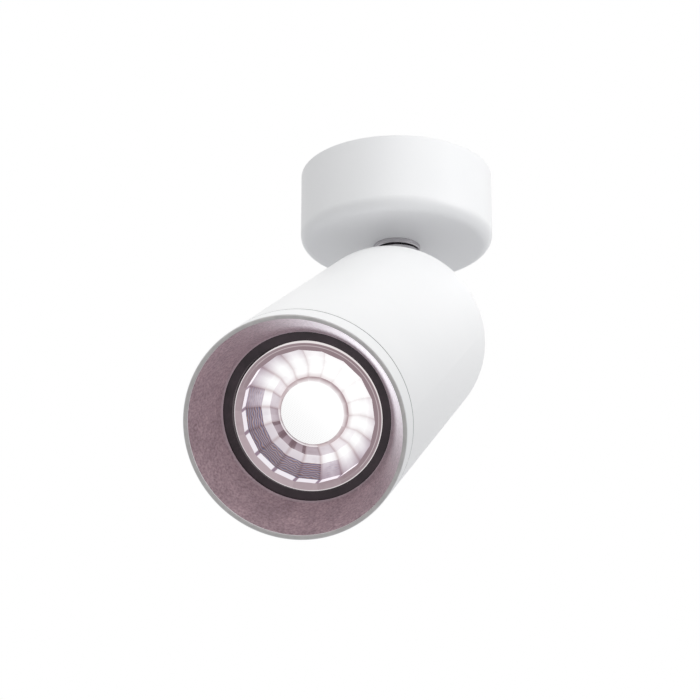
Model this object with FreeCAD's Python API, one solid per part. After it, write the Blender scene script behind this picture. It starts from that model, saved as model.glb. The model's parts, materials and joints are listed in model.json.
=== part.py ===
import FreeCAD, Part
import math
import os

# Surface mounted ceiling spotlight, in millimetres, +Z up.
# The origin is the centre of the canopy on the ceiling plane, so the whole fitting hangs below z = 0.
# The swivel arm is drawn with its fork facing -Y. The lamp head is drawn hanging straight down from
# a tilt axis at its own origin. Both are then turned to the aim given by rest_pan and rest_tilt.

V = FreeCAD.Vector

# ---- Aim of the lamp head as stored -------------------------------------------------------------
rest_pan = -13.3                # turn about the canopy's axis, degrees
rest_tilt = 58.7                # lift of the head from straight down, degrees
pan_travel = 340.0              # whole turn that the stop pin allows

# ---- Canopy and ceiling plate -------------------------------------------------------------------
canopy_radius = 39.0
canopy_height = 31.0
canopy_wall = 1.5
canopy_edge_radius = 5.0
plate_gap = 4.5                 # from the plate's rim to the canopy's inner wall
plate_thickness = 1.6
plate_bend_radius = 2.4
tab_width = 14.0
tab_length = 13.0
tab_gap = 1.6                   # from the tab's face to the canopy's inner wall, on the axis
slot_edge = 2.0                 # from a slot's end to the plate's rim
slot_width = 4.6
slot_length = 12.0
cable_hole_radius = 6.0
grub_radius = 2.0
grub_length = 7.0
grub_drop = 7.0                 # below the ceiling plane
grub_inset = 0.4                # outer end below the canopy's skin
grub_hole_clearance = 0.25
earth_screw_inset = 13.0        # from the plate's rim
earth_screw_radius = 2.0
earth_screw_length = 6.0

# ---- Terminal block under the plate -------------------------------------------------------------
poles = 3
pole_pitch = 9.2
pole_length = 17.0
pole_base_height = 8.6
tower_height = 4.4
tower_length = 14.0
tower_width = 4.6
block_gap = 2.6                 # from the block to the end of the canopy's screw
terminal_bore = 2.2
sleeve_wall = 0.7
sleeve_length = 14.0
clamp_screw_radius = 1.25
clamp_screw_spacing = 7.4
clamp_screw_length = 6.0
block_screw_radius = 1.5
supply_lead_radius = 0.9
supply_lead_bend = 3.0
supply_lead_run = 5.5           # straight out of the block
supply_lead_circle = 1.6        # of the three leads in the nipple

# ---- Swivel at the neck -------------------------------------------------------------------------
nipple_radius = 5.0
nipple_bore = 3.2
nipple_top = 9.5                # above the canopy's outer bottom
nipple_hole_clearance = 0.2
collar_proud = 0.1              # of the collar past the stem
collar_height = 1.9
swivel_gap = 0.7                # dark gap between collar and sleeve
journal_length = 13.5           # below the collar
journal_clearance = 0.05
lock_washer_radius = 8.2
lock_washer_thickness = 0.8
locknut_flats = 14.0
locknut_height = 4.0
stem_radius = 9.5
stem_edge = 0.4
sleeve_top_wall = 4.0
stem_wall = 1.9                 # round the chamber of the sleeve
sleeve_end = 19.5               # below the collar
spigot_length = 4.0
spigot_clearance = 0.04
pan_washer_radius = 6.2
pan_washer_play = 0.05
stop_pin_radius = 0.6
stop_pin_inset = 2.3            # pin's middle to the stem's skin
stop_pin_reach = 1.6            # into the groove
stop_groove_width = 2.0
stop_clearance = 0.4            # degrees left at each end of the turn
wave_washer_radius = 7.1
wave_washer_thickness = 0.9
retaining_flats = 12.4
retaining_height = 5.0

# ---- Fork and tilt pivot ------------------------------------------------------------------------
canopy_gap = 0.65               # from the level head to the canopy
fork_floor_gap = 1.7            # from the tongue's round end to the slot's floor
fork_flat_depth = 0.9           # of the flats, under the stem's skin
fork_bore = 3.0
tongue_radius = 7.5
tongue_width = 6.8
tilt_washer_radius = 7.0
tilt_washer_thickness = 0.85
tilt_washer_play = 0.05
barrel_radius = 2.5
barrel_clearance = 0.05
barrel_head_radius = 4.0
barrel_head = 1.8
barrel_screw_radius = 1.5
tilt_screw_length = 9.0
socket_flats = 2.5

# ---- Lamp head ----------------------------------------------------------------------------------
rear_gap = 1.9                  # from the fork's round end to the end of the tube
head_radius = 37.5
head_length = 160.0
tube_wall = 2.0
tube_edge = 1.0
front_edge = 0.5
ring_length = 10.5
seam_gap = 0.3
seam_depth = 0.5
slide_fit = 0.1                 # radial, for what drops into the tube
port_inset = 4.0                # port's middle to the tube's bore
port_radius = 3.2
port_web = 2.4
port_bore = 1.25
port_count = 3
screw_radius = 1.5
screw_head_radius = 2.8
screw_head = 1.8

# ---- Rear cap -----------------------------------------------------------------------------------
cap_recess = 1.0
cap_thickness = 4.0
cap_boss_radius = 12.5
cap_boss = 1.5
cap_boss_fillet = 1.0
cap_screw_length = 10.0
channel_offset = 4.9            # lead channel in the tongue, beside the pivot
channel_radius = 1.7

# ---- Driver and its carrier ---------------------------------------------------------------------
carrier_thickness = 1.2
carrier_width = 36.0
carrier_foot = 12.0
carrier_screw_spacing = 20.0
driver_fin_gap = 4.0            # from the fins to the driver
driver_cap_gap = 7.0            # from the driver to the rear cap
driver_width = 38.0
driver_height = 22.0
driver_wall = 1.4
driver_lid_thickness = 1.6
board_thickness = 1.6
board_stand = 4.0
driver_screw_inset = 11.0       # from each end of the driver
lead_hole_radius = 1.6
lead_radius = 0.8
lead_bend = 1.8
lead_exit = 2.0                 # lead holes of the driver, off its middle

# ---- Heat sink and light source -----------------------------------------------------------------
sink_front = 42.0               # behind the lamp's front
sink_thickness = 8.0
fin_gap = 0.8                   # from the fins to the ports
fin_pad = 1.0                   # raised disc that the fins stand on
fin_length = 28.0
fin_thickness = 1.8
fin_pitch = 5.2
sink_screw_length = 14.0
cob_side = 19.0
cob_thickness = 1.0
led_radius = 8.5
led_thickness = 0.5
holder_radius = 17.0
holder_thickness = 2.7
holder_opening = 9.2
holder_pocket_clearance = 0.2
holder_screw_circle = 14.2
holder_screw_radius = 1.25
holder_screw_length = 5.0
lead_circle = 20.5

# ---- Lens, holder, baffle and front ring --------------------------------------------------------
baffle_depth = 18.0
mouth_step = 0.1                # baffle's mouth, inside the ring's lip
baffle_wall = 1.3
baffle_flange = 1.0
baffle_lip = 0.6
ring_land = 1.5                 # width of the ring's face
ring_lip = 1.0
ring_lip_reach = 0.4            # over the baffle's flange
ring_spigot = 8.0
ring_spigot_wall = 1.6
ring_baffle_clearance = 0.4
seal_width = 1.8
seal_depth = 1.2
seal_place = 13.6
lens_radius = 25.3
lens_front = 18.3
lens_flange = 3.0
lens_height = 21.0
lens_edge = 0.5
lens_facets = 18
facet_inset = 2.5               # corners of the straight facets, from the lens's edge
facet_wall = 4.1                # straight facets behind the flange
facet_shares = (0, 0.418, 0.655, 1)  # of the way in to the cavity's wall, where two bands meet
well_radius = 10.9
well_depth = 6.5
well_draft = 0.5
cavity_radius = 9.6
cavity_wall = 2.2               # to the corners of the last facets
cavity_depth = 10.0
cavity_dome = 2.0
lens_clearance = 0.35
lens_ledge = 1.8
holder_face = 3.4               # black face between the lens and the baffle
holder_lip = 1.5                # of the holder's rim, behind the baffle
holder_rim_height = 5.0
cup_wall = 2.2
cup_foot = 2.0
cup_foot_gap = 0.8              # from the foot to the screws beside it

# ---- What follows from the sizes above ----------------------------------------------------------
canopy_floor = -(canopy_height - canopy_wall)
tab_reach = canopy_radius - canopy_wall - tab_gap
plate_radius = canopy_radius - canopy_wall - plate_gap
slot_middle = plate_radius - slot_edge - slot_length / 2
earth_screw_x = earth_screw_inset - plate_radius
terminal_x = canopy_radius - grub_inset - grub_length - block_gap - pole_length / 2
collar_radius = stem_radius + collar_proud
collar_bottom = -(canopy_height + collar_height)
sleeve_top = collar_bottom - swivel_gap
sleeve_chamber = stem_radius - stem_wall
stop_pin_circle = stem_radius - stop_pin_inset
journal_end = collar_bottom - journal_length
fork_top = collar_bottom - sleeve_end
chamber_top = sleeve_top - sleeve_top_wall
pivot_z = -(canopy_height + head_radius + canopy_gap)
fork_slot = tongue_width + 2 * (tilt_washer_thickness + tilt_washer_play)
fork_floor = pivot_z + tongue_radius + fork_floor_gap
fork_flat = stem_radius - fork_flat_depth
tube_bore = head_radius - tube_wall
tube_rear = -(stem_radius + rear_gap)
front = tube_rear - head_length
tube_front = front + ring_length + seam_gap
cap_face = tube_rear - cap_recess
cap_inside = cap_face - cap_thickness
sink_face = front + sink_front
sink_back = sink_face + sink_thickness
port_circle = tube_bore - port_inset
fin_radius = port_circle - port_radius - fin_gap
driver_end = sink_back + fin_length + driver_fin_gap
driver_length = cap_inside - driver_cap_gap - driver_end
carrier_face = -driver_height / 2
ring_lip_radius = head_radius - ring_land
ring_bore = ring_lip_radius + ring_lip_reach
baffle_mouth = ring_lip_radius - mouth_step
baffle_throat = lens_radius + holder_face


# ---- Shapes used all over -----------------------------------------------------------------------
def turned(outline):
    """Solid turned about Z from a closed outline of (radius, z) points."""
    points = [V(r, 0, z) for r, z in outline]
    return Part.Face(Part.makePolygon(points + points[:1])).revolve(V(), V(0, 0, 1), 360)


def rod(radius, z_low, z_high, x=0.0, y=0.0):
    return Part.makeCylinder(radius, z_high - z_low, V(x, y, z_low))


def cross_rod(radius, x_low, x_high, y=0.0, z=0.0):
    return Part.makeCylinder(radius, x_high - x_low, V(x_low, y, z), V(1, 0, 0))


def box(x_low, x_high, y_low, y_high, z_low, z_high):
    return Part.makeBox(x_high - x_low, y_high - y_low, z_high - z_low, V(x_low, y_low, z_low))


def around(count, radius, start=90.0):
    """Evenly spaced (x, y) places on a circle."""
    turns = [math.radians(start + 360.0 * i / count) for i in range(count)]
    return [(radius * math.cos(a), radius * math.sin(a)) for a in turns]


def polygon(corners, radius, z, start):
    """Regular polygon with its first corner at start degrees."""
    points = [V(x, y, z) for x, y in around(corners, radius, start)]
    return Part.makePolygon(points + points[:1])


def hexagon(flats, z_low, z_high):
    face = Part.Face(polygon(6, flats / math.sqrt(3), z_low, -60.0))
    return face.extrude(V(0, 0, z_high - z_low))


def ring_edges(shape, radius, z):
    """Circular edges about Z with this radius at this height."""
    found = []
    for edge in shape.Edges:
        curve = edge.Curve
        if isinstance(curve, Part.Circle) and abs(curve.Radius - radius) < 0.01:
            if abs(curve.Center.z - z) < 0.01 and math.hypot(curve.Center.x, curve.Center.y) < 0.01:
                found.append(edge)
    return found


def pan_screw(x, y, seat, length, radius, head_radius, head):
    """Screw with its head hanging under seat and its shank going up from there."""
    edge = 0.3 * head
    screw = turned([
        (0, seat - head), (head_radius - edge, seat - head), (head_radius, seat - head + edge),
        (head_radius, seat), (radius, seat), (radius, seat + length), (0, seat + length)])
    screw.translate(V(x, y, 0))
    return screw


def lead(points, radius, bend):
    """Insulated wire through points, with a round bend at each inner point."""
    edges = []
    start = V(*points[0])
    for before, corner, after in zip(points, points[1:], points[2:]):
        corner = V(*corner)
        back = (V(*before) - corner).normalize()
        ahead = (V(*after) - corner).normalize()
        half = back.getAngle(ahead) / 2
        reach = bend / math.tan(half)
        middle = corner + (back + ahead).normalize() * (bend / math.sin(half) - bend)
        entry = corner + back * reach
        leave = corner + ahead * reach
        edges.append(Part.LineSegment(start, entry).toShape())
        edges.append(Part.Arc(entry, middle, leave).toShape())
        start = leave
    edges.append(Part.LineSegment(start, V(*points[-1])).toShape())
    heading = V(*points[1]) - V(*points[0])
    section = Part.Wire(Part.Circle(V(*points[0]), heading, radius).toShape())
    return Part.Wire(edges).makePipeShell([section], True, False)


# ---- Canopy, plate and terminals ----------------------------------------------------------------
def canopy_cup():
    cup = rod(canopy_radius, -canopy_height, 0)
    cup = cup.makeFillet(canopy_edge_radius, ring_edges(cup, canopy_radius, -canopy_height))
    hollow = rod(canopy_radius - canopy_wall, canopy_floor, 1)
    inner_edge = ring_edges(hollow, canopy_radius - canopy_wall, canopy_floor)
    hollow = hollow.makeFillet(canopy_edge_radius - canopy_wall, inner_edge)
    cup = cup.cut(hollow)
    cup = cup.cut(rod(nipple_radius + nipple_hole_clearance, -canopy_height - 1, canopy_floor + 1))
    hole = grub_radius + grub_hole_clearance
    return cup.cut(cross_rod(hole, -canopy_radius - 1, canopy_radius + 1, z=-grub_drop))


def mounting_plate():
    """Steel plate that is screwed to the ceiling, with two tabs bent down for the canopy's screws."""
    half = tab_width / 2
    plate = rod(plate_radius, -plate_thickness, 0)
    plate = plate.fuse(box(-tab_reach, tab_reach, -half, half, -plate_thickness, 0))
    for side in (-1, 1):
        low, high = sorted((side * tab_reach, side * (tab_reach - plate_thickness)))
        plate = plate.fuse(box(low, high, -half, half, -tab_length, 0))
    plate = plate.removeSplitter()
    bends = []
    for edge in plate.Edges:
        middle = edge.CenterOfMass
        if abs(middle.z) < 0.01 and abs(abs(middle.x) - tab_reach) < 0.01:
            bends.append(edge)
    plate = plate.makeFillet(plate_bend_radius, bends)
    straight = (slot_length - slot_width) / 2
    for middle in (-slot_middle, slot_middle):
        low, high = middle - straight, middle + straight
        slot = box(-slot_width / 2, slot_width / 2, low, high, -plate_thickness - 1, 1)
        for y in (low, high):
            slot = slot.fuse(rod(slot_width / 2, -plate_thickness - 1, 1, 0, y))
        plate = plate.cut(slot)
    plate = plate.cut(rod(cable_hole_radius, -plate_thickness - 1, 1))
    plate = plate.cut(rod(block_screw_radius, -plate_thickness - 1, 1, terminal_x, pole_pitch / 2))
    plate = plate.cut(rod(earth_screw_radius, -plate_thickness - 1, 1, earth_screw_x))
    return plate.cut(cross_rod(grub_radius, -tab_reach - 1, tab_reach + 1, z=-grub_drop))


def canopy_grub_screws():
    screws = []
    for side in (-1, 1):
        outer = side * (canopy_radius - grub_inset)
        low, high = sorted((outer, outer - side * grub_length))
        screw = cross_rod(grub_radius, low, high, z=-grub_drop)
        key = hexagon(socket_flats * 0.8, 0, 2.0)
        key.rotate(V(), V(0, 1, 0), 90)
        key.translate(V(outer if side < 0 else outer - 2.0, 0, -grub_drop))
        screws.append(screw.cut(key))
    return screws


def pole_places():
    return [(i - (poles - 1) / 2) * pole_pitch for i in range(poles)]


def terminal_block():
    top = -plate_thickness
    half = pole_length / 2
    reach = poles * pole_pitch / 2
    body = box(terminal_x - half, terminal_x + half, -reach, reach, top - pole_base_height, top)
    tower_end = top - pole_base_height - tower_height
    for y in pole_places():
        tower = box(terminal_x - tower_length / 2, terminal_x + tower_length / 2,
                    y - tower_width / 2, y + tower_width / 2, tower_end, top - pole_base_height)
        corners = [e for e in tower.Edges if abs(e.BoundBox.ZLength - tower_height) < 0.01]
        body = body.fuse(tower.makeFillet(1.2, corners))
    body = body.removeSplitter()
    bore_z = top - pole_base_height / 2
    for y in pole_places():
        body = body.cut(cross_rod(terminal_bore, terminal_x - half - 1, terminal_x + half + 1, y, bore_z))
        for x in clamp_places():
            body = body.cut(rod(clamp_screw_radius + 0.3, tower_end - 1, bore_z, x, y))
    return body.cut(rod(block_screw_radius + 0.1, tower_end - 1, 1, terminal_x, pole_pitch / 2))


def clamp_places():
    return (terminal_x - clamp_screw_spacing / 2, terminal_x + clamp_screw_spacing / 2)


def terminal_sleeves():
    sleeves = []
    z = -plate_thickness - pole_base_height / 2
    low = terminal_x - sleeve_length / 2
    high = terminal_x + sleeve_length / 2
    for y in pole_places():
        sleeve = cross_rod(terminal_bore, low, high, y, z)
        sleeve = sleeve.cut(cross_rod(terminal_bore - sleeve_wall, low - 1, high + 1, y, z))
        for x in clamp_places():
            sleeve = sleeve.cut(rod(clamp_screw_radius, z - terminal_bore - 1, z, x, y))
        sleeves.append(sleeve)
    return sleeves


def clamped_lead_height():
    """Height of a lead's middle, pressed against the upper wall of its sleeve."""
    return -plate_thickness - pole_base_height / 2 + terminal_bore - sleeve_wall - supply_lead_radius


def terminal_screws():
    screws = []
    start = clamped_lead_height() - supply_lead_radius
    for y in pole_places():
        for x in clamp_places():
            screw = rod(clamp_screw_radius, start - clamp_screw_length, start, x, y)
            end = start - clamp_screw_length
            slit = box(x - 2, x + 2, y - 0.3, y + 0.3, end - 1, end + 0.8)
            screws.append(screw.cut(slit))
    return screws


def supply_leads():
    """Leads from the terminals into the nipple, one from each pole."""
    leads = []
    z = clamped_lead_height()
    mouth = -canopy_height + nipple_top
    edge = terminal_x - pole_length / 2
    for pole, y in enumerate(pole_places()):
        turn = math.radians(90.0 * (pole - 1))
        x_in = supply_lead_circle * math.cos(turn)
        y_in = supply_lead_circle * math.sin(turn)
        leads.append(lead([
            (terminal_x, y, z), (edge - supply_lead_run, y, z), (x_in, y_in, mouth + 5.0),
            (x_in, y_in, -canopy_height)], supply_lead_radius, supply_lead_bend))
    return leads


def block_screw():
    seat = -plate_thickness - pole_base_height
    y = pole_pitch / 2
    length = pole_base_height + plate_thickness
    return pan_screw(terminal_x, y, seat, length, block_screw_radius, 1.4 * block_screw_radius, 1.4)


def earth_screw():
    seat = -plate_thickness
    washer = rod(4.4, seat - 0.8, seat, earth_screw_x)
    screw = pan_screw(earth_screw_x, 0, seat - 0.8, earth_screw_length - 4.0, earth_screw_radius, 3.6, 2.2)
    return washer.fuse(screw).removeSplitter()


# ---- Neck swivel --------------------------------------------------------------------------------
def swivel_nipple():
    """Hollow threaded nipple with its collar, and the journal that the sleeve turns on."""
    top = -canopy_height + nipple_top
    body = turned([
        (nipple_bore, top), (nipple_radius - 0.5, top), (nipple_radius, top - 0.5),
        (nipple_radius, -canopy_height), (collar_radius - 0.2, -canopy_height),
        (collar_radius, -canopy_height - 0.2), (collar_radius, collar_bottom + 0.3),
        (collar_radius - 0.3, collar_bottom), (nipple_radius, collar_bottom),
        (nipple_radius, journal_end + 0.5), (nipple_radius - 0.5, journal_end), (nipple_bore, journal_end)])
    return body.cut(stop_pin())


def stop_pin():
    """Dowel pressed into the collar. It runs in the groove of the sleeve."""
    return rod(stop_pin_radius, sleeve_top - stop_pin_reach + 0.4, -canopy_height - 0.4, 0, stop_pin_circle)


def lock_washer():
    washer = rod(lock_washer_radius, canopy_floor, canopy_floor + lock_washer_thickness)
    for x, y in around(12, lock_washer_radius + 0.5):
        washer = washer.cut(rod(1.2, canopy_floor - 1, canopy_floor + 2, x, y))
    return washer.cut(rod(nipple_radius, canopy_floor - 1, canopy_floor + 2))


def nipple_locknut():
    low = canopy_floor + lock_washer_thickness
    nut = hexagon(locknut_flats, low, low + locknut_height)
    cone = Part.makeCone(locknut_flats / 2 + 3.0, locknut_flats / 2 - 0.3, locknut_height + 0.4, V(0, 0, low))
    return nut.common(cone).cut(rod(nipple_radius, low - 1, low + locknut_height + 1))


def stop_groove():
    """Ring groove in the top of the sleeve, broken by the land that the stop pin meets."""
    inner = stop_pin_circle - stop_groove_width / 2
    outer = stop_pin_circle + stop_groove_width / 2
    ring = rod(outer, sleeve_top - stop_pin_reach, sleeve_top + 1)
    ring = ring.cut(rod(inner, sleeve_top - stop_pin_reach - 1, sleeve_top + 2))
    pin_turn = math.degrees(math.asin(stop_pin_radius / stop_pin_circle))
    land_turn = (360.0 - pan_travel) / 2 - pin_turn - stop_clearance
    start = math.radians(-90.0 - land_turn)
    end = math.radians(-90.0 + land_turn)
    low = sleeve_top - stop_pin_reach - 1
    corners = [V(0, 0, low)]
    for turn in (start, end):
        corners.append(V(2 * outer * math.cos(turn), 2 * outer * math.sin(turn), low))
    land = Part.Face(Part.makePolygon(corners + corners[:1])).extrude(V(0, 0, stop_pin_reach + 4))
    return ring.cut(land)


def swivel_sleeve():
    body = turned([
        (nipple_radius + journal_clearance, sleeve_top), (stem_radius - stem_edge, sleeve_top),
        (stem_radius, sleeve_top - stem_edge), (stem_radius, fork_top),
        (sleeve_chamber, fork_top), (sleeve_chamber, chamber_top),
        (nipple_radius + journal_clearance, chamber_top)])
    return body.cut(stop_groove())


def pan_washer():
    top = collar_bottom - pan_washer_play
    washer = rod(pan_washer_radius, sleeve_top, top)
    return washer.cut(rod(nipple_radius + journal_clearance, sleeve_top - 1, top + 1))


def wave_washer():
    """Spring washer under the sleeve's top wall, with three low waves round it."""
    low = chamber_top - wave_washer_thickness
    washer = rod(wave_washer_radius, low, chamber_top)
    washer = washer.cut(rod(nipple_radius + journal_clearance, low - 1, chamber_top + 1))
    for x, y in around(3, 2 * wave_washer_radius, 30.0):
        trough = Part.makeCylinder(1.2, 4 * wave_washer_radius, V(-x, -y, chamber_top + 0.85), V(x, y, 0))
        washer = washer.cut(trough)
    return washer


def retaining_nut():
    high = chamber_top - wave_washer_thickness - pan_washer_play
    low = high - retaining_height
    nut = hexagon(retaining_flats, low, high)
    cone = Part.makeCone(retaining_flats / 2 - 0.2, retaining_flats / 2 + 3.0, retaining_height + 0.4,
                         V(0, 0, low))
    return nut.common(cone).cut(rod(nipple_radius, low - 1, high + 1))


# ---- Fork and tilt pivot ------------------------------------------------------------------------
def swivel_fork():
    end = pivot_z - stem_radius
    body = rod(stem_radius, end, fork_top)
    envelope = box(-stem_radius, stem_radius, -stem_radius, stem_radius, pivot_z, fork_top)
    envelope = envelope.fuse(cross_rod(stem_radius, -stem_radius, stem_radius, z=pivot_z))
    body = body.common(envelope)
    spigot = rod(sleeve_chamber - spigot_clearance, fork_top, fork_top + spigot_length)
    body = body.fuse(spigot).removeSplitter()
    cheek = fork_slot / 2
    body = body.cut(box(-cheek, cheek, -stem_radius - 1, stem_radius + 1, end - 1, fork_floor))
    for side in (-1, 1):
        low, high = sorted((side * fork_flat, side * (stem_radius + 1)))
        body = body.cut(box(low, high, -stem_radius, stem_radius, end - 1, fork_floor))
        low, high = sorted((side * (fork_flat - barrel_head), side * (stem_radius + 1)))
        body = body.cut(cross_rod(barrel_head_radius + 0.1, low, high, z=pivot_z))
    body = body.cut(cross_rod(barrel_radius, -stem_radius, stem_radius, z=pivot_z))
    return body.cut(rod(fork_bore, fork_floor - 1, fork_top + spigot_length + 1))


def tilt_barrel():
    """Barrel nut through the fork and the tongue, with a flush slotted head at -X."""
    outer = -fork_flat
    end = fork_slot / 2 + 1.2
    barrel = cross_rod(barrel_radius, outer, end, z=pivot_z)
    head = cross_rod(barrel_head_radius, outer, outer + barrel_head, z=pivot_z)
    barrel = barrel.fuse(head).removeSplitter()
    slit = box(outer - 1, outer + 0.8, -5, 5, pivot_z - 0.5, pivot_z + 0.5)
    return barrel.cut(cross_rod(barrel_screw_radius, end - tilt_screw_length, end + 1, z=pivot_z)).cut(slit)


def tilt_screw():
    outer = fork_flat
    under = outer - barrel_head
    barrel_end = fork_slot / 2 + 1.2
    head = cross_rod(barrel_head_radius, under, outer, z=pivot_z)
    shank = cross_rod(barrel_screw_radius, barrel_end - tilt_screw_length + 1.0, under, z=pivot_z)
    key = hexagon(socket_flats, 0, 2.0)
    key.rotate(V(), V(0, 1, 0), 90)
    key.translate(V(outer - 1.2, 0, pivot_z))
    return head.fuse(shank).removeSplitter().cut(key)


def tilt_washers():
    washers = []
    inner = tongue_width / 2 + tilt_washer_play
    for side in (-1, 1):
        low, high = sorted((side * inner, side * fork_slot / 2))
        washer = cross_rod(tilt_washer_radius, low, high, z=pivot_z)
        washers.append(washer.cut(cross_rod(barrel_radius, low - 1, high + 1, z=pivot_z)))
    return washers


# ---- Rear cap and tube --------------------------------------------------------------------------
def rear_cap():
    """Cast cap with the tongue that carries the whole head."""
    rim = tube_bore - slide_fit
    cap = turned([
        (0, cap_face), (rim - 0.4, cap_face), (rim, cap_face - 0.4), (rim, cap_inside),
        (port_circle - 4.5, cap_inside), (port_circle - 6.0, cap_inside + 1.4),
        (cap_boss_radius + 1.5, cap_inside + 1.4), (cap_boss_radius, cap_inside), (0, cap_inside)])
    boss_face = cap_face + cap_boss
    boss = Part.makeCone(cap_boss_radius, cap_boss_radius - 0.8, cap_boss, V(0, 0, cap_face))
    half = tongue_width / 2
    tongue = box(-half, half, -tongue_radius, tongue_radius, boss_face, 0)
    tongue = tongue.fuse(cross_rod(tongue_radius, -half, half))
    cap = cap.fuse(boss).fuse(tongue).removeSplitter()
    foot = []
    for edge in cap.Edges:
        middle = edge.CenterOfMass
        inside = math.hypot(middle.x, middle.y) < cap_boss_radius - 2.0
        if abs(edge.BoundBox.ZMin - boss_face) < 0.01 and edge.BoundBox.ZLength < 0.01 and inside:
            if isinstance(edge.Curve, Part.Line):
                foot.append(edge)
    cap = cap.makeFillet(cap_boss_fillet, foot)
    cap = cap.cut(cross_rod(barrel_radius + barrel_clearance, -half - 1, half + 1))
    cap = cap.cut(rod(channel_radius, cap_inside - 1, tongue_radius, 0, channel_offset))
    for x, y in around(port_count, port_circle):
        hole = rod(screw_radius + 0.1, cap_inside - 1, cap_face + 1, x, y)
        seat = V(x, y, cap_face - screw_head)
        cap = cap.cut([hole, Part.makeCone(screw_radius, screw_head_radius, screw_head, seat)])
    for x, y in carrier_screw_places():
        cap = cap.cut(rod(holder_screw_radius, cap_inside - 1, cap_inside + 3.0, x, y))
    return cap


def carrier_screw_places():
    y = carrier_face - carrier_thickness - carrier_foot / 2
    return [(-carrier_screw_spacing / 2, y), (carrier_screw_spacing / 2, y)]


def rear_cap_screws():
    """Countersunk screws with a hexagon socket, flush with the cap."""
    screws = []
    for x, y in around(port_count, port_circle):
        head = Part.makeCone(screw_radius, screw_head_radius, screw_head, V(x, y, cap_face - screw_head))
        thread = rod(port_bore, cap_face - cap_screw_length, cap_inside, x, y)
        neck = rod(screw_radius, cap_inside, cap_face - screw_head, x, y)
        key = hexagon(socket_flats * 0.8, cap_face - 1.2, cap_face + 1)
        key.translate(V(x, y, 0))
        screws.append(head.fuse([neck, thread]).removeSplitter().cut(key))
    return screws


def head_tube():
    """Extruded tube with three screw ports along its bore, faced off at both ends for what drops in."""
    tube = rod(head_radius, tube_front, tube_rear)
    tube = tube.makeFillet(tube_edge, ring_edges(tube, head_radius, tube_rear))
    tube = tube.cut(rod(tube_bore, tube_front - 1, tube_rear + 1))
    for x, y in around(port_count, port_circle):
        port = rod(port_radius, sink_back, cap_inside, x, y)
        length = tube_bore + tube_wall / 2 - port_circle
        web = box(0, length, -port_web / 2, port_web / 2, sink_back, cap_inside)
        web.rotate(V(), V(0, 0, 1), math.degrees(math.atan2(y, x)))
        web.translate(V(x, y, 0))
        tube = tube.fuse([port, web])
    tube = tube.removeSplitter()
    for x, y in around(port_count, port_circle):
        tube = tube.cut(rod(port_bore, sink_back - 1, cap_inside + 1, x, y))
    return tube


# ---- Driver -------------------------------------------------------------------------------------
def driver_carrier():
    """Bent steel strip that holds the driver on the rear cap."""
    low = carrier_face - carrier_thickness
    half = carrier_width / 2
    strip = box(-half, half, low, carrier_face, driver_end, cap_inside)
    foot = box(-half, half, low - carrier_foot, low, cap_inside - carrier_thickness, cap_inside)
    carrier = strip.fuse(foot).removeSplitter()
    for x, y in carrier_screw_places():
        carrier = carrier.cut(rod(screw_radius, cap_inside - 3, cap_inside + 1, x, y))
    for z in driver_screw_heights():
        carrier = carrier.cut(Part.makeCylinder(screw_radius, 3, V(0, low - 1, z), V(0, 1, 0)))
    return carrier


def driver_screw_heights():
    return (driver_end + driver_screw_inset, driver_end + driver_length - driver_screw_inset)


def carrier_screws():
    screws = []
    for x, y in carrier_screw_places():
        seat = cap_inside - carrier_thickness
        screws.append(pan_screw(x, y, seat, carrier_thickness + 2.6, holder_screw_radius, 2.4, 1.6))
    return screws


def driver_case():
    half = driver_width / 2
    high = carrier_face + driver_height - driver_lid_thickness
    case = box(-half, half, carrier_face, high, driver_end, driver_end + driver_length)
    upright = [e for e in case.Edges if e.BoundBox.YLength > high - carrier_face - 0.01]
    case = case.makeFillet(2.0, upright)
    inner = half - driver_wall
    case = case.cut(box(-inner, inner, carrier_face + driver_wall, high + 1,
                        driver_end + driver_wall, driver_end + driver_length - driver_wall))
    for z in driver_screw_heights():
        post = Part.makeCylinder(2.6, board_stand, V(0, carrier_face, z), V(0, 1, 0))
        case = case.fuse(post).removeSplitter()
        foot = V(0, carrier_face, z)
        case = case.cut(Part.makeCylinder(holder_screw_radius, board_stand - 0.8, foot, V(0, 1, 0)))
    for x in (-fin_pitch / 2, fin_pitch / 2):
        for z in (driver_end, driver_end + driver_length):
            case = case.cut(rod(lead_hole_radius, z - driver_wall - 1, z + driver_wall + 1, x, lead_exit))
    return case


def driver_lid():
    half = driver_width / 2
    low = carrier_face + driver_height - driver_lid_thickness
    high = carrier_face + driver_height
    lid = box(-half, half, low, high, driver_end, driver_end + driver_length)
    corners = [e for e in lid.Edges if abs(e.BoundBox.YLength - driver_lid_thickness) < 0.01]
    lid = lid.makeFillet(2.0, corners)
    inner = half - driver_wall - slide_fit
    rib = box(-inner, inner, low - 1.2, low, driver_end + driver_wall + slide_fit,
              driver_end + driver_length - driver_wall - slide_fit)
    rib = rib.cut(box(-inner + 1, inner - 1, low - 2, low + 1, driver_end + driver_wall + slide_fit + 1,
                      driver_end + driver_length - driver_wall - slide_fit - 1))
    return lid.fuse(rib).removeSplitter()


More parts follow.
